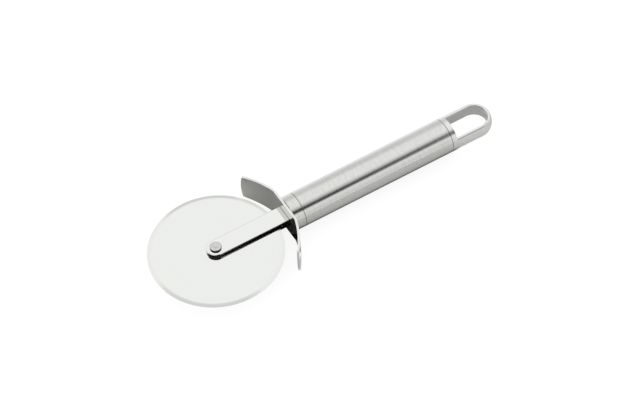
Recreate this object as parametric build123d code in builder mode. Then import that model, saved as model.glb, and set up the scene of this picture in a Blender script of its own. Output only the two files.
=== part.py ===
from build123d import *
import math
import os

# A pizza cutter that lies flat on its handle. +X runs from the wheel to the hanging loop and +Z is up.
# The origin is under the middle of the whole cutter, on the surface it rests on. All sizes are in mm.

# Cutting wheel: a thin disc, ground to an edge on both sides
wheel_diameter = 70.0
wheel_thickness = 1.0
bevel_width = 2.5
edge_thickness = 0.12

# Axle: a two-part rivet through a spacer sleeve, with a washer on each side of the wheel
sleeve_diameter = 5.0
washer_diameter = 9.0
washer_thickness = 0.8
wheel_end_play = 0.2
rivet_shank_diameter = 3.4
rivet_core_diameter = 2.0
rivet_head_diameter = 6.1
rivet_head_height = 1.0
rivet_head_slope = 0.05
rivet_head_chamfer = 0.2
rivet_dimple_diameter = 2.2
rivet_dimple_depth = 0.16
rivet_roof = 0.5
rivet_end_gap = 0.3

# Fork: a flat bar with a slot for the wheel, a tenon for the guard and a stud for the nut
fork_width = 9.9
prong_thickness = 1.3
slot_rim_gap = 1.3
fork_edge_chamfer = 0.2
tenon_width = 7.0
tenon_height = 4.2
tenon_setback = 0.3
stud_diameter = 4.0
stud_length = 7.0
stud_chamfer = 0.5

# Thumb guard: a strip bent forwards on both sides of the handle
hub_to_guard = 40.3
guard_thickness = 1.15
guard_height = 18.5
guard_end_height = 15.9
guard_reach = 30.8
guard_flat_half = 10.4
guard_bend_radius = 1.2
guard_bend_angle = 16.6
guard_wing_radius = 51.0
guard_end_bow = 0.8
guard_corner_round = 0.6

# Handle: a ferrule, a tube and an end cap of one diameter
handle_diameter = 18.74
ferrule_length = 6.45
ferrule_front_wall = 2.2
ferrule_front_chamfer = 0.45
ferrule_bore_diameter = 13.0
tube_length = 88.6
tube_wall = 1.0
spigot_length = 8.0
spigot_lead = 0.5
seam_chamfer = 0.15

# Clamping stack on the stud inside the ferrule: a plate washer, a spring washer and a nut
plate_washer_diameter = 12.0
plate_washer_thickness = 1.0
spring_washer_diameter = 7.6
spring_washer_thickness = 0.9
spring_washer_split = 0.7
nut_across_flats = 7.0
nut_thickness = 3.2
nut_chamfer = 0.4

# End cap with the hanging loop
collar_length = 2.9
cap_length = 27.7
cap_bore_diameter = 12.6
cap_bore_end_wall = 1.6
loop_height = 7.6
loop_slot_width = 14.2
loop_edge_chamfer = 0.25

# Clearances on the radius, and how far a cutting shape runs past what it cuts
running_gap = 0.05
fixed_gap = 0.02
overrun = 5.0

# Sizes that follow from those above
wheel_radius = wheel_diameter / 2
handle_radius = handle_diameter / 2
slot_height = wheel_thickness + 2 * washer_thickness + wheel_end_play
fork_thickness = slot_height + 2 * prong_thickness
tube_inner_radius = handle_radius - tube_wall
spigot_radius = tube_inner_radius - fixed_gap

# Places along the handle, measured from the wheel's hub
slot_end = wheel_radius + slot_rim_gap
guard_back = hub_to_guard + guard_thickness
ferrule_inner_face = guard_back + ferrule_front_wall
tenon_end = ferrule_inner_face - tenon_setback
ferrule_back = guard_back + ferrule_length
tube_back = ferrule_back + tube_length
loop_shoulder = tube_back + collar_length
cap_end = tube_back + cap_length
dome_centre = cap_end - handle_radius

# The hub's place: the whole cutter is centred on the origin and the handle rests on the surface
hub_x = wheel_radius - (wheel_radius + cap_end) / 2
axis_height = handle_radius

# Working planes and lines. On both planes X is the distance from the hub towards the loop.
top_plane = Plane(origin=(hub_x, 0, axis_height))
side_plane = Plane(origin=(hub_x, 0, axis_height), x_dir=(1, 0, 0), z_dir=(0, -1, 0))
hub_line = Axis((hub_x, 0, axis_height), (0, 0, 1))
handle_line = Axis((hub_x, 0, axis_height), (1, 0, 0))


def cross_plane(distance):
    """The plane square to the handle at a distance from the hub, with its own X along +Y."""
    return Plane(origin=(hub_x + distance, 0, axis_height), x_dir=(0, 1, 0), z_dir=(1, 0, 0))


def level_plane(height):
    """The plane level with the wheel at a height above its middle, centred on the hub."""
    return top_plane.offset(height)


# Cutting wheel: half of the section, spun about the hub
bevel_start = wheel_radius - bevel_width
wheel_bore_radius = sleeve_diameter / 2 + running_gap
half_wheel = wheel_thickness / 2
half_edge = edge_thickness / 2

with BuildPart() as cutting_wheel:
    with BuildSketch(side_plane):
        with BuildLine():
            Polyline(
                (wheel_bore_radius, -half_wheel),
                (bevel_start, -half_wheel),
                (wheel_radius, -half_edge),
                (wheel_radius, half_edge),
                (bevel_start, half_wheel),
                (wheel_bore_radius, half_wheel),
                close=True,
            )
        make_face()
    revolve(axis=hub_line)

# Spacer sleeve: it keeps the prongs apart when the rivet is closed, and the wheel turns on it
shank_hole_radius = rivet_shank_diameter / 2 + fixed_gap

with BuildPart() as spacer_sleeve:
    with BuildSketch(level_plane(-slot_height / 2)):
        Circle(sleeve_diameter / 2)
        Circle(shank_hole_radius, mode=Mode.SUBTRACT)
    extrude(amount=slot_height)

# Washers: one ring against each prong, so the wheel runs between them with a little end play
washers = {}
for washer_name, washer_bottom in (
    ("upper_washer", slot_height / 2 - washer_thickness),
    ("lower_washer", -slot_height / 2),
):
    with BuildPart() as washer:
        with BuildSketch(level_plane(washer_bottom)):
            Circle(washer_diameter / 2)
            Circle(sleeve_diameter / 2 + running_gap, mode=Mode.SUBTRACT)
        extrude(amount=washer_thickness)
    washers[washer_name] = washer

# Rivet, upper half: a hollow shank under a low head with a dimple
half_fork = fork_thickness / 2
head_top = half_fork + rivet_head_height
head_radius = rivet_head_diameter / 2
shank_radius = rivet_shank_diameter / 2
core_radius = rivet_core_diameter / 2
socket_bottom = -half_fork + rivet_end_gap
core_top = half_fork - rivet_roof
dimple_radius = rivet_dimple_diameter / 2

with BuildPart() as rivet_socket:
    with BuildSketch(side_plane):
        with BuildLine():
            Polyline(
                (core_radius, socket_bottom),
                (shank_radius, socket_bottom),
                (shank_radius, half_fork),
                (head_radius, half_fork),
                (head_radius - rivet_head_slope, head_top),
                (0, head_top),
                (0, core_top),
                (core_radius, core_top),
                close=True,
            )
        make_face()
    revolve(axis=hub_line)
    chamfer(rivet_socket.faces().sort_by(Axis.Z)[-1].edges(), length=rivet_head_chamfer)
    with BuildSketch(side_plane):
        with BuildLine():
            ThreePointArc(
                (-dimple_radius, head_top),
                (0, head_top - rivet_dimple_depth),
                (dimple_radius, head_top),
            )
            Line((dimple_radius, head_top), (-dimple_radius, head_top))
        make_face()
        split(bisect_by=Plane.YZ)
    revolve(axis=hub_line, mode=Mode.SUBTRACT)

# Rivet, lower half: a solid pin pressed up into the hollow shank
pin_top = core_top - rivet_end_gap
pin_radius = core_radius - fixed_gap

with BuildPart() as rivet_pin:
    with BuildSketch(side_plane):
        with BuildLine():
            Polyline(
                (0, -head_top),
                (head_radius - rivet_head_slope, -head_top),
                (head_radius, -half_fork),
                (pin_radius, -half_fork),
                (pin_radius, pin_top),
                (0, pin_top),
                close=True,
            )
        make_face()
    revolve(axis=hub_line)
    chamfer(rivet_pin.faces().sort_by(Axis.Z)[0].edges(), length=rivet_head_chamfer)

# Fork: the flat bar with its round nose, then the slot, the rivet hole, the tenon and the stud
half_width = fork_width / 2
slot_round = slot_height / 2
stud_end = ferrule_inner_face + stud_length

with BuildPart() as fork:
    with BuildSketch(top_plane):
        with BuildLine():
            Line((hub_to_guard, half_width), (0, half_width))
            ThreePointArc((0, half_width), (-half_width, 0), (0, -half_width))
            Line((0, -half_width), (hub_to_guard, -half_width))
            Line((hub_to_guard, -half_width), (hub_to_guard, half_width))
        make_face()
    extrude(amount=half_fork, both=True)
    flat_faces = fork.faces().filter_by(Axis.Z)
    rim_edges = flat_faces.edges() - fork.faces().sort_by(Axis.X)[-1].edges()
    chamfer(rim_edges, length=fork_edge_chamfer)
    with BuildSketch(side_plane):
        with BuildLine():
            Line((-half_width - overrun, slot_round), (slot_end - slot_round, slot_round))
            ThreePointArc(
                (slot_end - slot_round, slot_round),
                (slot_end, 0),
                (slot_end - slot_round, -slot_round),
            )
            Line((slot_end - slot_round, -slot_round), (-half_width - overrun, -slot_round))
            Line((-half_width - overrun, -slot_round), (-half_width - overrun, slot_round))
        make_face()
    extrude(amount=half_width + overrun, both=True, mode=Mode.SUBTRACT)
    with BuildSketch(top_plane):
        Circle(shank_hole_radius)
    extrude(amount=half_fork + overrun, both=True, mode=Mode.SUBTRACT)
    with BuildSketch(cross_plane(hub_to_guard)):
        Rectangle(tenon_width, tenon_height)
    extrude(amount=tenon_end - hub_to_guard)
    with BuildSketch(cross_plane(tenon_end)):
        Circle(stud_diameter / 2)
    extrude(amount=stud_end - tenon_end)
    chamfer(fork.faces().sort_by(Axis.X)[-1].edges(), length=stud_chamfer)

# Thumb guard: the bent outline from above, half of it drawn and mirrored. Then its top and bottom are
# cut to a slight arch, its ends to a bow, and its corners are rounded.
bend_turn = math.radians(guard_bend_angle)
wing_length = guard_reach - guard_flat_half - guard_bend_radius * bend_turn
wing_turn = wing_length / guard_wing_radius
tip_turn = bend_turn + wing_turn
tip_x = (
    hub_to_guard
    - guard_bend_radius * (1 - math.cos(bend_turn))
    - guard_wing_radius * (math.cos(bend_turn) - math.cos(tip_turn))
)
tip_y = (
    guard_flat_half
    + guard_bend_radius * math.sin(bend_turn)
    + guard_wing_radius * (math.sin(tip_turn) - math.sin(bend_turn))
)
half_tall = guard_height / 2
end_half_tall = guard_end_height / 2
arch_rise = half_tall - end_half_tall
arch_radius = (tip_y**2 + arch_rise**2) / (2 * arch_rise)
window_width = tenon_width + 2 * fixed_gap
window_height = tenon_height + 2 * fixed_gap


def tip_plane(side):
    """The plane of one wing's end: X runs out along the wing, Y is up. Side is 1 or -1."""
    outward = (-math.sin(tip_turn), side * math.cos(tip_turn), 0)
    normal = (side * math.cos(tip_turn), math.sin(tip_turn), 0)
    return Plane(origin=(hub_x + tip_x, side * tip_y, axis_height), x_dir=outward, z_dir=normal)


# The outline of a wing's end, flat: its bow, its rounded corners, and lines that clear the arch
with BuildSketch() as guard_end:
    with BuildLine():
        ThreePointArc((-guard_end_bow, end_half_tall), (0, 0), (-guard_end_bow, -end_half_tall))
        Polyline(
            (-guard_end_bow, -end_half_tall),
            (-guard_reach, -half_tall - arch_rise),
            (-guard_reach, half_tall + arch_rise),
            (-guard_end_bow, end_half_tall),
        )
    make_face()
    fillet(guard_end.vertices().group_by(Axis.X)[-1], radius=guard_corner_round)

with BuildPart() as thumb_guard:
    with BuildSketch(top_plane):
        with BuildLine():
            wing_ends = []
            for face_x, grow in ((hub_to_guard, 0), (guard_back, guard_thickness)):
                flat_line = Line((face_x, 0), (face_x, guard_flat_half))
                bend_arc = JernArc(
                    flat_line @ 1, flat_line % 1, guard_bend_radius + grow, math.degrees(bend_turn)
                )
                wing_arc = JernArc(
                    bend_arc @ 1, bend_arc % 1, guard_wing_radius + grow, math.degrees(wing_turn)
                )
                wing_ends.append(wing_arc @ 1)
            Line(wing_ends[0], wing_ends[1])
            Line((hub_to_guard, 0), (guard_back, 0))
        make_face()
        mirror(about=Plane.XZ)
    extrude(amount=half_tall, both=True)
    with BuildSketch(cross_plane(guard_back)):
        with Locations((0, half_tall - arch_radius)):
            Circle(arch_radius)
        with Locations((0, arch_radius - half_tall)):
            Circle(arch_radius, mode=Mode.INTERSECT)
    extrude(amount=-guard_reach, mode=Mode.INTERSECT)
    for side in (1, -1):
        with BuildSketch(tip_plane(side)):
            with Locations((-guard_flat_half, 0)):
                Rectangle(
                    guard_flat_half + overrun,
                    guard_height + 2 * overrun,
                    align=(Align.MIN, Align.CENTER),
                )
            add(guard_end.sketch, mode=Mode.SUBTRACT)
        extrude(amount=guard_thickness + overrun, both=True, mode=Mode.SUBTRACT)
    with BuildSketch(cross_plane(hub_to_guard)):
        Rectangle(window_width, window_height)
    extrude(amount=guard_thickness, mode=Mode.SUBTRACT)

# Front ferrule: a turned cup. Its rear spigot fits the tube and the tenon fits its front wall.
ferrule_bore_radius = ferrule_bore_diameter / 2
front_spigot_end = ferrule_back + spigot_length

with BuildPart() as front_ferrule:
    with BuildSketch(side_plane):
        with BuildLine():
            Polyline(
                (guard_back, 0),
                (guard_back, handle_radius - ferrule_front_chamfer),
                (guard_back + ferrule_front_chamfer, handle_radius),
                (ferrule_back - seam_chamfer, handle_radius),
                (ferrule_back, handle_radius - seam_chamfer),
                (ferrule_back, spigot_radius),
                (front_spigot_end - spigot_lead, spigot_radius),
                (front_spigot_end, spigot_radius - spigot_lead),
                (front_spigot_end, ferrule_bore_radius),
                (ferrule_inner_face, ferrule_bore_radius),
                (ferrule_inner_face, 0),
                close=True,
            )
        make_face()
    revolve(axis=handle_line)
    with BuildSketch(cross_plane(guard_back)):
        Rectangle(window_width, window_height)
    extrude(amount=ferrule_front_wall, mode=Mode.SUBTRACT)

# Plate washer: it bridges the ferrule's window, which is wider than the nut
stud_hole_radius = stud_diameter / 2 + fixed_gap

with BuildPart() as plate_washer:
    with BuildSketch(cross_plane(ferrule_inner_face)):
        Circle(plate_washer_diameter / 2)
        Circle(stud_hole_radius, mode=Mode.SUBTRACT)
    extrude(amount=plate_washer_thickness)

# Spring washer: a split ring between the plate washer and the nut
spring_washer_front = ferrule_inner_face + plate_washer_thickness
spring_washer_radius = spring_washer_diameter / 2

with BuildPart() as spring_washer:
    with BuildSketch(cross_plane(spring_washer_front)):
        Circle(spring_washer_radius)
        Circle(stud_hole_radius, mode=Mode.SUBTRACT)
        with Locations((0, spring_washer_radius)):
            Rectangle(spring_washer_split, spring_washer_diameter, mode=Mode.SUBTRACT)
    extrude(amount=spring_washer_thickness)

# Nut: a hexagon with its corners chamfered, on the fork's stud
nut_front = spring_washer_front + spring_washer_thickness
nut_sides = 6
nut_corner_radius = nut_across_flats / 2 / math.cos(math.pi / nut_sides)

with BuildPart() as tang_nut:
    with BuildSketch(cross_plane(nut_front)):
        RegularPolygon(nut_corner_radius, nut_sides)
    extrude(amount=nut_thickness)
    with BuildSketch(side_plane):
        with BuildLine():
            Polyline(
                (nut_front, 0),
                (nut_front, nut_corner_radius - nut_chamfer),
                (nut_front + nut_chamfer, nut_corner_radius),
                (nut_front + nut_thickness - nut_chamfer, nut_corner_radius),
                (nut_front + nut_thickness, nut_corner_radius - nut_chamfer),
                (nut_front + nut_thickness, 0),
                close=True,
            )
        make_face()
    revolve(axis=handle_line, mode=Mode.INTERSECT)
    with BuildSketch(cross_plane(nut_front)):
        Circle(stud_hole_radius)
    extrude(amount=nut_thickness, mode=Mode.SUBTRACT)

# Handle tube: its two outer edges are broken, so that the seams show as fine grooves
with BuildPart() as handle_tube:
    with BuildSketch(cross_plane(ferrule_back)):
        Circle(handle_radius)
        Circle(tube_inner_radius, mode=Mode.SUBTRACT)
    extrude(amount=tube_length)
    outer_rims = handle_tube.edges().filter_by(GeomType.CIRCLE).group_by(SortBy.RADIUS)[-1]
    chamfer(outer_rims, length=seam_chamfer)

# End cap: turned with a spigot and a dome, then milled flat on both faces and slotted for the loop
cap_bore_radius = cap_bore_diameter / 2
rear_spigot_start = tube_back - spigot_length
cap_bore_end = loop_shoulder - cap_bore_end_wall
slot_half_width = loop_slot_width / 2
half_turn = 180

with BuildPart() as end_cap:
    with BuildSketch(side_plane):
        with BuildLine():
            Polyline(
                (dome_centre, 0),
                (dome_centre, handle_radius),
                (tube_back + seam_chamfer, handle_radius),
                (tube_back, handle_radius - seam_chamfer),
                (tube_back, spigot_radius),
                (rear_spigot_start + spigot_lead, spigot_radius),
                (rear_spigot_start, spigot_radius - spigot_lead),
                (rear_spigot_start, cap_bore_radius),
                (cap_bore_end, cap_bore_radius),
                (cap_bore_end, 0),
                close=True,
            )
        make_face()
    revolve(axis=handle_line)
    with Locations((hub_x + dome_centre, 0, axis_height)):
        Sphere(handle_radius, arc_size3=half_turn, rotation=(0, 0, -half_turn / 2), align=None)
    for flat_middle in (loop_height / 2 + overrun, -loop_height / 2 - overrun):
        with BuildSketch(side_plane):
            with Locations((loop_shoulder, flat_middle)):
                Rectangle(
                    cap_length + overrun, 2 * overrun, align=(Align.MIN, Align.CENTER)
                )
        extrude(amount=handle_radius + overrun, both=True, mode=Mode.SUBTRACT)
    with BuildSketch(top_plane):
        with BuildLine():
            Line((loop_shoulder, slot_half_width), (dome_centre, slot_half_width))
            ThreePointArc(
                (dome_centre, slot_half_width),
                (dome_centre + slot_half_width, 0),
                (dome_centre, -slot_half_width),
            )
            Line((dome_centre, -slot_half_width), (loop_shoulder, -slot_half_width))
            Line((loop_shoulder, -slot_half_width), (loop_shoulder, slot_half_width))
        make_face()
    extrude(amount=loop_height / 2 + overrun, both=True, mode=Mode.SUBTRACT)
    shoulder_x = hub_x + loop_shoulder
    loop_edges = end_cap.faces().filter_by(Axis.Z).edges().filter_by(
        lambda edge: edge.center().X > shoulder_x + loop_edge_chamfer
    )
    chamfer(loop_edges, length=loop_edge_chamfer)

pieces = {
    "cutting_wheel": cutting_wheel,
    "spacer_sleeve": spacer_sleeve,
    **washers,
    "rivet_socket": rivet_socket,
    "rivet_pin": rivet_pin,
    "fork": fork,
    "thumb_guard": thumb_guard,
    "front_ferrule": front_ferrule,
    "plate_washer": plate_washer,
    "spring_washer": spring_washer,
    "tang_nut": tang_nut,
    "handle_tube": handle_tube,
    "end_cap": end_cap,
}

os.makedirs("parts", exist_ok=True)
for piece_name, piece in pieces.items():
    piece.part.label = piece_name
    export_step(piece.part, f"parts/{piece_name}.step")
    print(f"{piece_name}: {piece.part.volume:.0f} mm3")
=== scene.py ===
# %% [markdown]
# # A pizza cutter, finished in Blender
#
# The cutter's solids come ready made and to size: a thin steel wheel in a slotted fork, a bent
# thumb guard, and a handle of a ferrule, a tube and an end cap with a hanging loop. This lesson
# gives each piece the surface that a workshop would leave on it, then sets up a small photo
# studio around it. Every length is in metres.
#
# The solids could be drawn again here, but a drawn copy would soon differ from the real sizes.
# So they are loaded as they are, and only their surfaces are made.

# %% Load the cutter
import math

import bpy
from mathutils import Euler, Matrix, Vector


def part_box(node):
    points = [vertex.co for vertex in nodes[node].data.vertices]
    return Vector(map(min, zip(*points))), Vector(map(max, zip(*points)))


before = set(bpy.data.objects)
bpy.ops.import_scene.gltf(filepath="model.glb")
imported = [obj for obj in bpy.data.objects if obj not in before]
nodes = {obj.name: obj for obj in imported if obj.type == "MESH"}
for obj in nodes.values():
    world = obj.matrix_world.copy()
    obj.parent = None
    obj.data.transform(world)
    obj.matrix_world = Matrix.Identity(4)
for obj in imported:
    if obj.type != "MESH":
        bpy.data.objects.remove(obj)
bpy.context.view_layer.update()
print(len(nodes), "pieces:", ", ".join(sorted(nodes)))

# %% [markdown]
# ## Where things are
#
# A finish often has to know where it is: the grinding marks of the wheel run out from its hub,
# and the handle's satin lines run round its axis. These places could be typed in as numbers.
# Reading them from the solids' own boxes is safer, because a finish then stays in place when a
# size changes.

# %% The hub, the wheel's rim and the ends of the handle's parts
wheel_low, wheel_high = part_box("cutting_wheel")
hub = (wheel_low + wheel_high) / 2
wheel_radius = (wheel_high.x - wheel_low.x) / 2
guard_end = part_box("thumb_guard")[1].x
ferrule_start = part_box("front_ferrule")[0].x
tube_start, tube_end = (corner.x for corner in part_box("handle_tube"))
cap_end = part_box("end_cap")[1].x
print("hub", tuple(round(value, 5) for value in hub), "wheel radius", round(wheel_radius, 5))
print("tube from", round(tube_start, 5), "to", round(tube_end, 5))

# %% [markdown]
# ## The camera
#
# The photograph looks down on the cutter from the front left, from well away, so the wheel shows
# as a calm oval and the handle hardly tapers. A long lens at a distance of 1.4 m gives the same
# drawing. The camera could be placed by eye. Here it is placed by three turns, as on a tripod
# head: a turn about the vertical, a tilt down, and a small roll. It then moves back from a point
# near the middle of the cutter.

# %% A tripod head for the camera
camera_bearing = math.radians(-28.14)
camera_height = math.radians(52.81)
camera_roll = math.radians(-3.66)
camera_distance = 1.4136
aim_from_hub = Vector((0.05247, 0.02555, 0))

turned = Euler((0, 0, camera_bearing)).to_matrix()
tilted = Euler((math.radians(90) - camera_height, 0, 0)).to_matrix()
rolled = Euler((0, 0, camera_roll)).to_matrix()
camera_turn = turned @ tilted @ rolled
print("camera turned by", [round(math.degrees(turn), 1) for turn in camera_turn.to_euler()])

# %% Place the camera
lens_millimetres = 157.5
lens = bpy.data.cameras.new("studio_camera")
lens.lens = lens_millimetres
camera = bpy.data.objects.new("studio_camera", lens)
camera.location = hub + camera_turn @ (aim_from_hub + Vector((0, 0, camera_distance)))
camera.rotation_euler = camera_turn.to_euler()
bpy.context.scene.collection.objects.link(camera)
bpy.context.scene.camera = camera
print("camera at", tuple(round(value, 3) for value in camera.location))

# %% [markdown]
# ## Small helpers for building finishes
#
# A finish is a small graph of nodes. Building it by hand in the editor is easy to try, but hard
# to repeat, so a few helpers keep the script readable: one starts a blank finish, some do sums in
# nodes, and one fades a value softly from one end to the other.

# %% A blank finish
metal, not_metal = 1.0, 0.0


def start_finish(name, metallic):
    finish = bpy.data.materials.new(name)
    finish.use_nodes = True
    shader = finish.node_tree.nodes["Principled BSDF"]
    shader.inputs["Metallic"].default_value = metallic
    return finish.node_tree, shader


# %% Sums in nodes
def calculate(tree, operation, *values):
    node = tree.nodes.new("ShaderNodeMath")
    node.operation = operation
    for socket, value in zip(node.inputs, values):
        if isinstance(value, bpy.types.NodeSocket):
            tree.links.new(value, socket)
        else:
            socket.default_value = value
    return node.outputs["Value"]


def plus(tree, first, second):
    return calculate(tree, "ADD", first, second)


def minus(tree, first, second):
    return calculate(tree, "SUBTRACT", first, second)


def times(tree, first, second):
    return calculate(tree, "MULTIPLY", first, second)


# %% A mean of two values, by the share of the second
def weigh(tree, first, second, share):
    rest = minus(tree, 1.0, share)
    return plus(tree, times(tree, first, rest), times(tree, second, share))


# %% A soft fade from one value to another
def fade(tree, value, start, end, low=0.0, high=1.0):
    node = tree.nodes.new("ShaderNodeMapRange")
    node.interpolation_type = "SMOOTHSTEP"
    tree.links.new(value, node.inputs["Value"])
    for name, number in (("From Min", start), ("From Max", end), ("To Min", low), ("To Max", high)):
        node.inputs[name].default_value = number
    return node.outputs["Result"]


# %% [markdown]
# Metal that has been brushed, turned or ground carries fine parallel lines. One noise texture can
# draw them all if its space is squeezed: along a line it changes slowly, and across it quickly.
# The squeeze is given as marks per metre in each direction.

# %% Places on a piece, and their three parts
def place_on_piece(tree):
    return tree.nodes.new("ShaderNodeTexCoord").outputs["Object"]


def split(tree, vector):
    node = tree.nodes.new("ShaderNodeSeparateXYZ")
    tree.links.new(vector, node.inputs["Vector"])
    return node.outputs["X"], node.outputs["Y"], node.outputs["Z"]


def join(tree, x, y, z):
    node = tree.nodes.new("ShaderNodeCombineXYZ")
    for socket, value in zip(node.inputs, (x, y, z)):
        tree.links.new(value, socket)
    return node.outputs["Vector"]


# %% Lines left by a tool
def tool_lines(tree, vector, marks_per_metre, detail=3.0):
    squeeze = tree.nodes.new("ShaderNodeVectorMath")
    squeeze.operation = "MULTIPLY"
    tree.links.new(vector, squeeze.inputs[0])
    squeeze.inputs[1].default_value = marks_per_metre
    noise = tree.nodes.new("ShaderNodeTexNoise")
    noise.inputs["Scale"].default_value = 1.0
    noise.inputs["Detail"].default_value = detail
    tree.links.new(squeeze.outputs["Vector"], noise.inputs["Vector"])
    return noise.outputs["Fac"]


# %% [markdown]
# The lines act on the surface in three ways. They tint it very slightly, they make it shine a
# little more or less, and they are real grooves a few thousandths of a millimetre deep. The next
# helpers lead one noise to the colour, the roughness and the bump. A noise is seldom below 0.3 or
# above 0.7, so these two are taken as its ends.

# %% Lines in the colour
noise_low, noise_high = 0.3, 0.7


def tint(tree, shader, lines, dark, light):
    ramp = tree.nodes.new("ShaderNodeValToRGB")
    ends = ramp.color_ramp.elements
    for end, position, colour in zip(ends, (noise_low, noise_high), (dark, light)):
        end.position = position
        end.color = (*colour, 1)
    tree.links.new(lines, ramp.inputs["Fac"])
    tree.links.new(ramp.outputs["Color"], shader.inputs["Base Color"])


# %% Lines in the shine
def spread(tree, lines, low, high):
    return fade(tree, lines, noise_low, noise_high, low, high)


def shine(tree, shader, lines, smooth, rough):
    tree.links.new(spread(tree, lines, smooth, rough), shader.inputs["Roughness"])


# %% Lines as grooves
def groove(tree, shader, lines, depth, strength=1.0):
    bump = tree.nodes.new("ShaderNodeBump")
    bump.inputs["Strength"].default_value = strength
    bump.inputs["Distance"].default_value = depth
    tree.links.new(lines, bump.inputs["Height"])
    tree.links.new(bump.outputs["Normal"], shader.inputs["Normal"])


# %% [markdown]
# A worn edge or a line of dirt lies over the finish. It could have a material of its own, but
# then the mesh would have to be cut. Here a second colour is blended over the first one, by an
# amount that other nodes work out from the place.

# %% Blend a second colour over the finish
def blend_colour(tree, shader, amount, colour):
    mix = tree.nodes.new("ShaderNodeMix")
    mix.data_type = "RGBA"
    under = shader.inputs["Base Color"].links[0].from_socket
    tree.links.new(amount, mix.inputs["Factor"])
    tree.links.new(under, mix.inputs["A"])
    mix.inputs["B"].default_value = (*colour, 1)
    tree.links.new(mix.outputs["Result"], shader.inputs["Base Color"])


# %% Give a finish to pieces
def dress(names, tree):
    finish = next(item for item in bpy.data.materials if item.node_tree == tree)
    for name in names:
        for place in nodes[name].material_slots:
            place.material = finish
    print(finish.name, "on", ", ".join(names))


# %% [markdown]
# ## The cutting wheel
#
# The wheel is stamped from thin steel, polished like a mirror on its faces, and ground to an edge
# on both sides. The grinding leaves a band 2.5 mm wide that is a little rougher than the face,
# with fine marks that run out to the rim.
#
# Two materials could do this, one for each part of the mesh. One material that measures its
# distance from the hub needs no cut in the mesh, and turns with the wheel.

# %% Distance and direction from the hub
def round_hub(tree):
    x, y, z = split(tree, place_on_piece(tree))
    across = minus(tree, x, hub.x)
    squares = [calculate(tree, "POWER", length, 2.0) for length in (across, y)]
    distance = calculate(tree, "SQRT", plus(tree, *squares))
    angle = calculate(tree, "ARCTAN2", y, across)
    return distance, angle, z


# %% Mirror faces and a lighter bevel
polish_light = (0.79, 0.80, 0.785)
polish_dark = (0.775, 0.785, 0.77)
bevel_light = (0.76, 0.77, 0.755)
bevel_width = 0.0025
bevel_start = wheel_radius - bevel_width
face_rings = (2600, 0.8, 0)

wheel_tree, wheel_shader = start_finish("wheel_polish", metal)
distance, angle, height = round_hub(wheel_tree)
rings = tool_lines(wheel_tree, join(wheel_tree, distance, angle, height), face_rings)
tint(wheel_tree, wheel_shader, rings, polish_dark, polish_light)
on_bevel = fade(wheel_tree, distance, bevel_start, wheel_radius - bevel_width * 0.5)
blend_colour(wheel_tree, wheel_shader, on_bevel, bevel_light)
print("the bevel starts", round(bevel_start, 5), "from the hub")

# %% [markdown]
# The band is painted darker on two opposite sides. This is a painted reflection: the bevel there
# mirrors darker parts of the studio. Soft random blotches break up the ends of the dark parts.
# The direction from the hub gives the two sides: its cosine, at twice the angle, is high at one
# side and again at the opposite one.

# %% The bevel's two sides of painted reflection
bevel_painted_dark = (0.58, 0.59, 0.575)
painted_dark_direction = math.radians(240)
pull_of_sides = 0.3
blotch_marks = (60, 60, 60)
dark_start, dark_end = 0.3, 0.8

turned_away = minus(wheel_tree, angle, painted_dark_direction)
painted_sides = calculate(wheel_tree, "COSINE", times(wheel_tree, turned_away, 2.0))
blotches = tool_lines(wheel_tree, place_on_piece(wheel_tree), blotch_marks, detail=1.0)
painted_sides_and_blotches = plus(wheel_tree, times(wheel_tree, painted_sides, pull_of_sides), blotches)
painted_dark_amount = fade(wheel_tree, painted_sides_and_blotches, dark_start, dark_end)
blend_colour(wheel_tree, wheel_shader, times(wheel_tree, on_bevel, painted_dark_amount), bevel_painted_dark)
print("dullest towards", round(math.degrees(painted_dark_direction)), "degrees and opposite")

# %% [markdown]
# The face shines like a mirror and the bevel a little less. A real bevel also starts gently and
# gets steeper, so part of it still mirrors what the face mirrors. The mesh could be rounded for
# that, but the solid stays as it was made: a bump that rises towards the rim takes most of the
# slope out of the reflection. Its height is given in metres, so the bump's own depth is 1.

# %% The wheel's shine and grooves
bevel_marks = (60, 90, 0)
face_smooth, face_rough = 0.03, 0.06
bevel_smooth, bevel_rough = 0.08, 0.14
bevel_rounding = 0.14
scratch_depth = 0.000001
height_in_metres = 1.0

marks = tool_lines(wheel_tree, join(wheel_tree, angle, distance, height), bevel_marks)
face_shine = spread(wheel_tree, rings, face_smooth, face_rough)
bevel_shine = spread(wheel_tree, marks, bevel_smooth, bevel_rough)
both_shines = weigh(wheel_tree, face_shine, bevel_shine, on_bevel)
wheel_tree.links.new(both_shines, wheel_shader.inputs["Roughness"])
into_bevel = calculate(wheel_tree, "MAXIMUM", minus(wheel_tree, distance, bevel_start), 0.0)
rounding = times(wheel_tree, into_bevel, bevel_rounding)
scratches = times(wheel_tree, times(wheel_tree, marks, on_bevel), scratch_depth)
relief = plus(wheel_tree, rounding, scratches)
groove(wheel_tree, wheel_shader, relief, depth=height_in_metres)
dress(["cutting_wheel"], wheel_tree)

# %% [markdown]
# ## The fork
#
# The fork is a flat bar, polished along its length on soft wheels. It mirrors the studio, so its
# top shows white and its sides show black. Only the faintest lines run along it: a noise that is
# squeezed hard across the bar and hardly at all along it.

# %% Lengthwise polish
along_fork = (40, 3000, 3000)
fork_tree, fork_shader = start_finish("fork_polish", metal)
fork_place = place_on_piece(fork_tree)
fork_lines = tool_lines(fork_tree, fork_place, along_fork)
tint(fork_tree, fork_shader, fork_lines, polish_dark, polish_light)
shine(fork_tree, fork_shader, fork_lines, smooth=0.03, rough=0.08)
groove(fork_tree, fork_shader, fork_lines, depth=0.000002, strength=0.3)
dress(["fork"], fork_tree)
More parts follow.
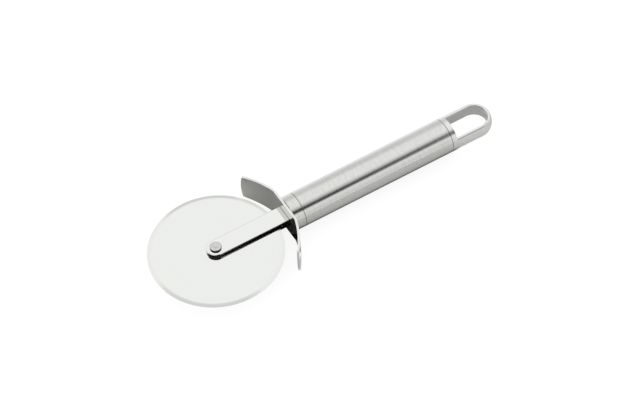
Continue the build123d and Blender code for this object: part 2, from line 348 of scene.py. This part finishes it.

# %% [markdown]
# Three small marks lie on the polish. One long edge is painted a little darker, a painted
# reflection of its rounding. A fine dark line lies in the corner before the guard. The end of the
# slot is painted dark, as painted shade in that recess. Each could have a material of its own,
# given face by face. A test of the place on the fork does the same, and needs no change to the
# mesh.

# %% One long edge, painted darker as a reflection
fork_low, fork_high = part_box("fork")
fork_half_width = (fork_high.y - fork_low.y) / 2
edge_start, edge_full = 0.0004, 0.0002
edge_painted_dark = (0.55, 0.55, 0.54)
x, y, z = split(fork_tree, fork_place)
on_painted_edge = fade(fork_tree, y, fork_half_width - edge_start, fork_half_width - edge_full)
blend_colour(fork_tree, fork_shader, on_painted_edge, edge_painted_dark)
print("fork half width", round(fork_half_width, 5))

# %% The dark line in the corner before the guard
guard_thickness = 0.00115
line_width = 0.00014
line_grey = (0.08, 0.08, 0.08)
guard_front = ferrule_start - guard_thickness
in_line = calculate(fork_tree, "GREATER_THAN", x, guard_front - line_width)
blend_colour(fork_tree, fork_shader, in_line, line_grey)
print("dark line at", round(guard_front, 5))

# %% Painted shade at the slot's end
slot_half_height = 0.00142
before_rim, past_rim = 0.002, 0.0015
slot_painted_shade = (0.06, 0.06, 0.06)
rim_x = hub.x + wheel_radius
from_wheel = calculate(fork_tree, "ABSOLUTE", minus(fork_tree, z, hub.z))
in_slot = calculate(fork_tree, "LESS_THAN", from_wheel, slot_half_height)
after_start = calculate(fork_tree, "GREATER_THAN", x, rim_x - before_rim)
before_end = calculate(fork_tree, "LESS_THAN", x, rim_x + past_rim)
at_end = times(fork_tree, after_start, before_end)
blend_colour(fork_tree, fork_shader, times(fork_tree, in_slot, at_end), slot_painted_shade)
print("slot's end near", round(rim_x, 5))

# %% [markdown]
# ## The thumb guard
#
# The guard is a strip that was polished flat and then bent, so its polish is a little softer than
# the fork's, and a slight ripple from the bending tool is left in it. The ripple is a broad noise,
# and the polishing lines run along the strip, from wing to wing.

# %% Polish with a slight ripple
guard_light = (0.78, 0.78, 0.765)
guard_dark = (0.73, 0.73, 0.715)
along_guard = (900, 60, 2600)
ripple_marks = (70, 70, 70)
line_share = 0.02
tree, shader = start_finish("guard_polish", metal)
place = place_on_piece(tree)
lines = tool_lines(tree, place, along_guard)
ripple = tool_lines(tree, place, ripple_marks, detail=1.0)
relief = plus(tree, times(tree, lines, line_share), ripple)
tint(tree, shader, lines, guard_dark, guard_light)
shine(tree, shader, lines, smooth=0.12, rough=0.2)
groove(tree, shader, relief, depth=0.00008, strength=0.5)
dress(["thumb_guard"], tree)

# %% [markdown]
# ## The satin handle
#
# The ferrule, the tube and the end cap are turned on a lathe and held against a belt, so their
# fine lines run round the handle. Such lines smear a reflection along the handle and leave it
# sharp across it: that is why the dark stripe on the handle has a crisp edge.
#
# Real grooves could be drawn, but they are far finer than a pixel. The shader's anisotropy does
# the smearing, turned by a quarter so that it follows the lines, and the noise adds the few
# coarser lines that the eye can see.

# %% Lines round the handle
fine_marks, coarse_marks = (1700, 300, 300), (600, 90, 90)
fine_share, coarse_share = 0.8, 0.2


def lines_round_handle(tree):
    place = place_on_piece(tree)
    fine = tool_lines(tree, place, fine_marks)
    coarse = tool_lines(tree, place, coarse_marks, detail=2.0)
    both = plus(tree, times(tree, fine, fine_share), times(tree, coarse, coarse_share))
    return place, fine, both


# %% A smear along the handle
smear, quarter_turn = 0.95, 0.25


def smear_along_handle(tree, shader):
    shader.inputs["Anisotropic"].default_value = smear
    shader.inputs["Anisotropic Rotation"].default_value = quarter_turn
    tangent = tree.nodes.new("ShaderNodeTangent")
    tangent.direction_type = "RADIAL"
    tangent.axis = "X"
    tree.links.new(tangent.outputs["Tangent"], shader.inputs["Tangent"])


# %% The satin finish
def satin_round_handle(name, light, dark):
    tree, shader = start_finish(name, metal)
    place, fine, lines = lines_round_handle(tree)
    tint(tree, shader, lines, dark, light)
    shine(tree, shader, lines, smooth=0.22, rough=0.25)
    groove(tree, shader, fine, depth=0.000001, strength=0.2)
    smear_along_handle(tree, shader)
    return tree, shader, place


# %% [markdown]
# Where two parts of the handle meet, each has a tiny bevel. Each seam, and the corner behind the
# guard, is drawn as a thin grey line: the colour is darker within a sixth of a millimetre of it.
# The line could be modelled as a groove of its own, but the darker colour is enough.

# %% Dark seams
corner_behind_guard = ferrule_start + 0.0002
seams = (corner_behind_guard, tube_start, tube_end)
seam_reach = 0.00016
seam_grey = (0.10, 0.10, 0.10)


def darken_seams(tree, shader, place):
    x = split(tree, place)[0]
    gaps = [calculate(tree, "ABSOLUTE", minus(tree, x, seam)) for seam in seams]
    nearest = gaps[0]
    for gap in gaps[1:]:
        nearest = calculate(tree, "MINIMUM", nearest, gap)
    in_seam = fade(tree, nearest, seam_reach * 0.5, seam_reach, low=1.0, high=0.0)
    blend_colour(tree, shader, in_seam, seam_grey)
    print("seams at", [round(seam, 4) for seam in seams])


# %% The ferrule and the tube
satin_light = (0.74, 0.745, 0.73)
satin_dark = (0.65, 0.655, 0.64)
tree, shader, place = satin_round_handle("handle_satin", satin_light, satin_dark)
darken_seams(tree, shader, place)
dress(["front_ferrule", "handle_tube"], tree)

# %% [markdown]
# The end cap is painted a little lighter than the tube, as painted light for the brighter look of
# its loop, and its grain is more even. It takes the same finish with its own two greys.

# %% The end cap
cap_painted_light = (0.79, 0.79, 0.78)
cap_painted_dark = (0.73, 0.73, 0.72)
tree, shader, place = satin_round_handle("cap_satin", cap_painted_light, cap_painted_dark)
darken_seams(tree, shader, place)
dress(["end_cap"], tree)

# %% [markdown]
# ## The rivet
#
# The axle's two heads are faced on a lathe, which leaves fine rings round the middle, and a shallow
# dimple where the press held them. Rings are tool lines that change only with the distance from
# the hub. The side of a head is painted nearly black, a painted reflection of the dark round it.

# %% Turned rings
ring_light = (0.66, 0.66, 0.65)
ring_dark = (0.52, 0.52, 0.51)
ring_marks = (4200, 0.6, 900)
tree, shader = start_finish("rivet_turning", metal)
distance, angle, height = round_hub(tree)
rings = tool_lines(tree, join(tree, distance, angle, height), ring_marks)
tint(tree, shader, rings, ring_dark, ring_light)
shine(tree, shader, rings, smooth=0.2, rough=0.3)
groove(tree, shader, rings, depth=0.00002, strength=0.4)
dress(["rivet_socket", "rivet_pin", "spacer_sleeve"], tree)

# %% The side of a head, painted dark as a reflection
head_low, head_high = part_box("rivet_socket")
head_radius = (head_high.x - head_low.x) / 2
side_start, side_full = 0.00018, 0.0001
side_painted_dark = (0.03, 0.03, 0.03)
on_side = fade(tree, distance, head_radius - side_start, head_radius - side_full)
blend_colour(tree, shader, on_side, side_painted_dark)
print("head radius", round(head_radius, 5))

# %% [markdown]
# ## Washers, nut and plate
#
# The two washers beside the wheel are moulded nylon: black, smooth and not metal, with the faint
# orange peel of the mould. The nut and the plate washer inside the handle are zinc plated, which
# gives a cloudy blue grey. The spring washer is hardened and left nearly black with oil. All
# three looks are a noise that is the same in every direction, from fine to coarse.

# %% Moulded nylon
nylon_light = (0.028, 0.028, 0.03)
nylon_dark = (0.015, 0.015, 0.016)
peel_marks = (1800, 1800, 1800)
tree, shader = start_finish("black_nylon", not_metal)
peel = tool_lines(tree, place_on_piece(tree), peel_marks, detail=2.0)
tint(tree, shader, peel, nylon_dark, nylon_light)
shine(tree, shader, peel, smooth=0.4, rough=0.5)
groove(tree, shader, peel, depth=0.00002, strength=0.4)
dress(["upper_washer", "lower_washer"], tree)

# %% Zinc plate
zinc_light = (0.68, 0.69, 0.70)
zinc_dark = (0.52, 0.54, 0.57)
cloud_marks = (700, 700, 700)
tree, shader = start_finish("zinc_plate", metal)
cloud = tool_lines(tree, place_on_piece(tree), cloud_marks, detail=4.0)
tint(tree, shader, cloud, zinc_dark, zinc_light)
shine(tree, shader, cloud, smooth=0.28, rough=0.45)
groove(tree, shader, cloud, depth=0.00001, strength=0.5)
dress(["tang_nut", "plate_washer"], tree)

# %% Oiled spring steel
oil_light = (0.2, 0.19, 0.18)
oil_dark = (0.09, 0.09, 0.10)
film_marks = (900, 900, 900)
tree, shader = start_finish("spring_steel", metal)
film = tool_lines(tree, place_on_piece(tree), film_marks)
tint(tree, shader, film, oil_dark, oil_light)
shine(tree, shader, film, smooth=0.3, rough=0.5)
groove(tree, shader, film, depth=0.00001, strength=0.4)
dress(["spring_washer"], tree)

# %% [markdown]
# ## The studio's light
#
# Polished steel has no look of its own: it shows what is around it. The photograph tells what that
# was. The wheel and the fork's top are white, so a large soft box hangs overhead and behind. The
# dark stripe on the handle and the black sides of the fork show a dark gap in the front, between
# the soft box and a pale panel lower down.
#
# Lamps and boards could be hung around the cutter. A world that is painted by direction gives the
# same soft light with no noise, and it is easy to read: each direction is followed up to a
# ceiling, and the soft box is a part of that ceiling with soft borders.

# %% Directions of the sky, and where they meet the ceiling
world = bpy.data.worlds.new("studio")
world.use_nodes = True
bpy.context.scene.world = world
sky = world.node_tree
way_x, way_y, way_z = split(sky, sky.nodes.new("ShaderNodeTexCoord").outputs["Generated"])
lowest_rise = 0.05
rise = calculate(sky, "MAXIMUM", way_z, lowest_rise)
ceiling_x = calculate(sky, "DIVIDE", way_x, rise)
print("world", world.name)

# %% The soft box and the ceiling around it
box_light, ceiling_light = 1.08, 0.45
box_border = (-0.62, -0.25)
ceiling_border = (-1.15, -0.85)
low_sky, low_sky_share = (0.55, 0.78), 0.75

in_box = fade(sky, ceiling_x, *box_border)
past_ceiling = fade(sky, ceiling_x, *ceiling_border, low=1.0, high=0.0)
is_lit = calculate(sky, "MAXIMUM", in_box, past_ceiling)
ceiling = weigh(sky, ceiling_light, box_light, is_lit)
by_height = fade(sky, way_z, *low_sky, low=low_sky_share)
overhead = times(sky, ceiling, by_height)
print("soft box", box_light, "ceiling", ceiling_light)

# %% [markdown]
# The gap takes part of the light away again. It lies in front, fades out to the left and towards
# the top of the sky, and has soft borders, because a hard one would show as a line in the metal.

# %% The dark gap in front
gap_depth = 0.58
gap_top = (0.8, 1.0)
gap_back = (-0.1, 0.2)
gap_left = (-0.5, -0.2)
front_x, front_y = -0.47, -0.88

to_front = plus(sky, times(sky, way_x, front_x), times(sky, way_y, front_y))
gap_high = fade(sky, way_z, *gap_top, low=gap_depth, high=0.0)
gap_wide = times(sky, fade(sky, to_front, *gap_back), fade(sky, way_x, *gap_left))
above = times(sky, overhead, minus(sky, 1.0, times(sky, gap_high, gap_wide)))
print("the gap takes", gap_depth, "of the light")

# %% [markdown]
# Below the gap stands the pale panel, and the rest of the room is a little dimmer. The panel's
# top edge is what the handle mirrors as the lower border of its dark stripe. It runs along the
# handle, so it is given as so much up for each step sideways, up to a highest point.

# %% The pale panel and the room's sides
side_light, panel_light = 0.8, 0.97
panel_foot = (0.1, 0.35)
panel_back = (0.0, 0.25)
on_panel = times(sky, fade(sky, way_z, *panel_foot), fade(sky, to_front, *panel_back))
below = weigh(sky, side_light, panel_light, on_panel)
print("panel", panel_light, "sides", side_light)

# %% The panel's top edge, and the whole sky
highest_top = 0.57
rise_per_step = 0.745
border = 0.01
sky_white = (1, 1, 0.99, 1)
top_by_side = times(sky, calculate(sky, "ABSOLUTE", way_y), rise_per_step)
panel_top = calculate(sky, "MINIMUM", highest_top, top_by_side)
is_above = fade(sky, minus(sky, way_z, panel_top), -border, border)

background = sky.nodes["Background"]
sky.links.new(weigh(sky, below, above, is_above), background.inputs["Strength"])
background.inputs["Color"].default_value = sky_white
print("the panel ends at", highest_top, "of the sky's height")

# %% [markdown]
# ## The floor
#
# The photograph's ground is pure white. The floor is a plain pale sheet that shows as white to the
# camera and to the metal, with a share of real shading in it, so the cutter still has a soft
# shadow. More lamps would whiten it too, but they would also wash out the steel.

# %% A flat sheet that belongs to the stage
def flat_sheet(name, low_x, high_x, low_y, high_y, height):
    mesh = bpy.data.meshes.new(name)
    corners = [(low_x, low_y), (high_x, low_y), (high_x, high_y), (low_x, high_y)]
    mesh.from_pydata([(x, y, height) for x, y in corners], [], [(0, 1, 2, 3)])
    sheet = bpy.data.objects.new(name, mesh)
    bpy.context.scene.collection.objects.link(sheet)
    return sheet


# %% A matt finish, for paper, felt and floor
def matt_finish(sheet, name, colour):
    paper = bpy.data.materials.new(name)
    paper.use_nodes = True
    shader = paper.node_tree.nodes["Principled BSDF"]
    shader.inputs["Base Color"].default_value = (*colour, 1)
    shader.inputs["Roughness"].default_value = 1.0
    shader.inputs["Specular IOR Level"].default_value = 0.0
    sheet.data.materials.append(paper)
    return paper.node_tree, shader


# %% The floor and its white
floor_reach, floor_drop = 3, 0.0003
floor_grey = (0.22, 0.22, 0.22)
own_white, pure_white = 0.86, (1, 1, 1, 1)

ends = (-floor_reach, floor_reach)
floor = flat_sheet("floor", *ends, *ends, -floor_drop)
tree, shader = matt_finish(floor, "floor_white", floor_grey)
rays = tree.nodes.new("ShaderNodeLightPath").outputs
mirrored = calculate(tree, "MAXIMUM", rays["Is Camera Ray"], rays["Is Glossy Ray"])
seen = calculate(tree, "MAXIMUM", mirrored, rays["Is Transmission Ray"])
shader.inputs["Emission Color"].default_value = pure_white
tree.links.new(times(tree, seen, own_white), shader.inputs["Emission Strength"])
print("floor", floor.dimensions[:])

# %% [markdown]
# ## Cards that only the metal sees
#
# The lower half of the handle is clearly darker than its top, and the guard is nearly black beside
# the fork, so the metal mirrored the floor's shade close by. The cards paint that shade into the
# reflections, as photographers lay paper and black cards just outside the picture. Here the cards
# are hidden from the camera instead: only the metal sees them, and real light and shade fall on
# them.

# %% A card for the metal alone
def make_card(card, name, colour):
    matt_finish(card, name, colour)
    card.visible_camera = False
    card.visible_diffuse = False
    card.visible_shadow = False
    print(name, [round(size, 3) for size in card.dimensions])


def lay_card(name, x_range, y_range, colour, height=0):
    make_card(flat_sheet(name, *x_range, *y_range, height), name, colour)


# %% [markdown]
# Under the handle lies grey paper, which reaches far out towards the camera, and on it a darker
# strip as wide as the handle. Both are painted shade, of the floor round and below the handle.
# Under the loop both are lighter, because light falls through the loop.

# %% Paper and strips under the handle and the loop
paper_margin = 0.05
near_and_back = (-3 * paper_margin, 0.012)
collar_length = 0.006
loop_margin = 0.01
strip_half_width, loop_half_width = 0.0112, 0.008
strip_height = 0.00005
handle_grey, handle_shade = (0.8, 0.8, 0.79), (0.46, 0.46, 0.45)
loop_grey, loop_shade = (0.92, 0.92, 0.91), (0.72, 0.72, 0.71)

under_handle = (guard_end, tube_end + collar_length)
under_loop = (tube_end + collar_length, cap_end + paper_margin)
loop_strip = (tube_end + collar_length, cap_end + loop_margin)
strip_sides = (-strip_half_width, strip_half_width)
loop_sides = (-loop_half_width, loop_half_width)
lay_card("grey_paper", under_handle, near_and_back, handle_grey)
lay_card("shade_strip", under_handle, strip_sides, handle_shade, strip_height)
lay_card("loop_paper", under_loop, near_and_back, loop_grey)
lay_card("loop_strip", loop_strip, loop_sides, loop_shade, strip_height)

# %% [markdown]
# The guard's wings lean over the floor in front of them, which lies in shade. The far wing mirrors
# one grey paper, painted shade. The near wing shows only its back and its end, so it has two: a
# grey one and, nearer to the wing, a nearly white one, both painted shade of the floor there.

# %% Paper before the guard's wings
behind_fork = (0.012, 0.06)
before_fork = (-0.06, -0.0188)
paper_start, paper_middle, paper_end = 0.01, 0.03, 0.0388
wing_shade_grey, end_shade_grey, tip_white = (0.76, 0.76, 0.74), (0.76, 0.76, 0.76), (0.95, 0.95, 0.95)

lay_card("wing_paper", (hub.x, guard_end), behind_fork, wing_shade_grey)
end_range = (hub.x + paper_start, hub.x + paper_middle)
lay_card("end_paper", end_range, before_fork, end_shade_grey)
tip_range = (hub.x + paper_middle, hub.x + paper_end)
lay_card("tip_paper", tip_range, before_fork, tip_white)

# %% [markdown]
# Beside the fork the guard is nearly black: it looks down on the shaded place between the wheel
# and the handle. A black card of painted shade lies there, and a smaller, deeper one just under
# the guard's corner.

# %% Black cards of painted shade under the fork
card_start = 0.02
under_fork = (-0.0187, 0.012)
before_corner, past_corner = 0.005, 0.003
beside_corner = (-0.0135, -0.006)
corner_height = 0.00008
soft_painted_shade, deep_black = (0.09, 0.09, 0.09), (0.01, 0.01, 0.01)

lay_card("black_card", (hub.x + card_start, guard_end), under_fork, soft_painted_shade)
corner_range = (guard_end - before_corner, guard_end + past_corner)
lay_card("corner_card", corner_range, beside_corner, deep_black, corner_height)

# %% [markdown]
# The sides of the fork are pure black, and the dark stripe on the handle is deepest near the fork.
# That is the mark of something dark near the wheel: a black board round the camera. It is a band of
# a dome about the hub, and being near, it darkens the fork fully and the handle's far end hardly.
# Each place on its outline is a bearing, in degrees clockwise from +Y, with the heights of the
# band's lower and upper edge there.

# %% The board's outline
board_distance = 0.3
board_shape = [(118, 33, 42), (139, 33, 42), (140, 33, 50), (165, 33, 54), (195, 33, 58)]
camera_side, camera_low, camera_high = range(205, 321, 15), 45, 64
board_shape += [(bearing, camera_low, camera_high) for bearing in camera_side]


def on_dome(bearing, height):
    bearing, height = math.radians(bearing), math.radians(height)
    level_part = math.cos(height)
    way = (level_part * math.sin(bearing), level_part * math.cos(bearing), math.sin(height))
    return hub + board_distance * Vector(way)


# %% A black board round the camera
points = []
for bearing, low, high in board_shape:
    points += [tuple(on_dome(bearing, low)), tuple(on_dome(bearing, high))]
faces = [(2 * i, 2 * i + 1, 2 * i + 3, 2 * i + 2) for i in range(len(board_shape) - 1)]
mesh = bpy.data.meshes.new("black_board")
mesh.from_pydata(points, [], faces)
black_board = bpy.data.objects.new("black_board", mesh)
bpy.context.scene.collection.objects.link(black_board)
make_card(black_board, "black_felt", deep_black)

# %% [markdown]
# ## The look of the picture
#
# The picture keeps plain colours, with no film curve over them, so a finish shows as it was
# written.

# %% Plain colours
bpy.context.scene.view_settings.view_transform = "Standard"
print("view transform", bpy.context.scene.view_settings.view_transform)

# %% [markdown]
# ## Finish

# %% Close
print("finished")
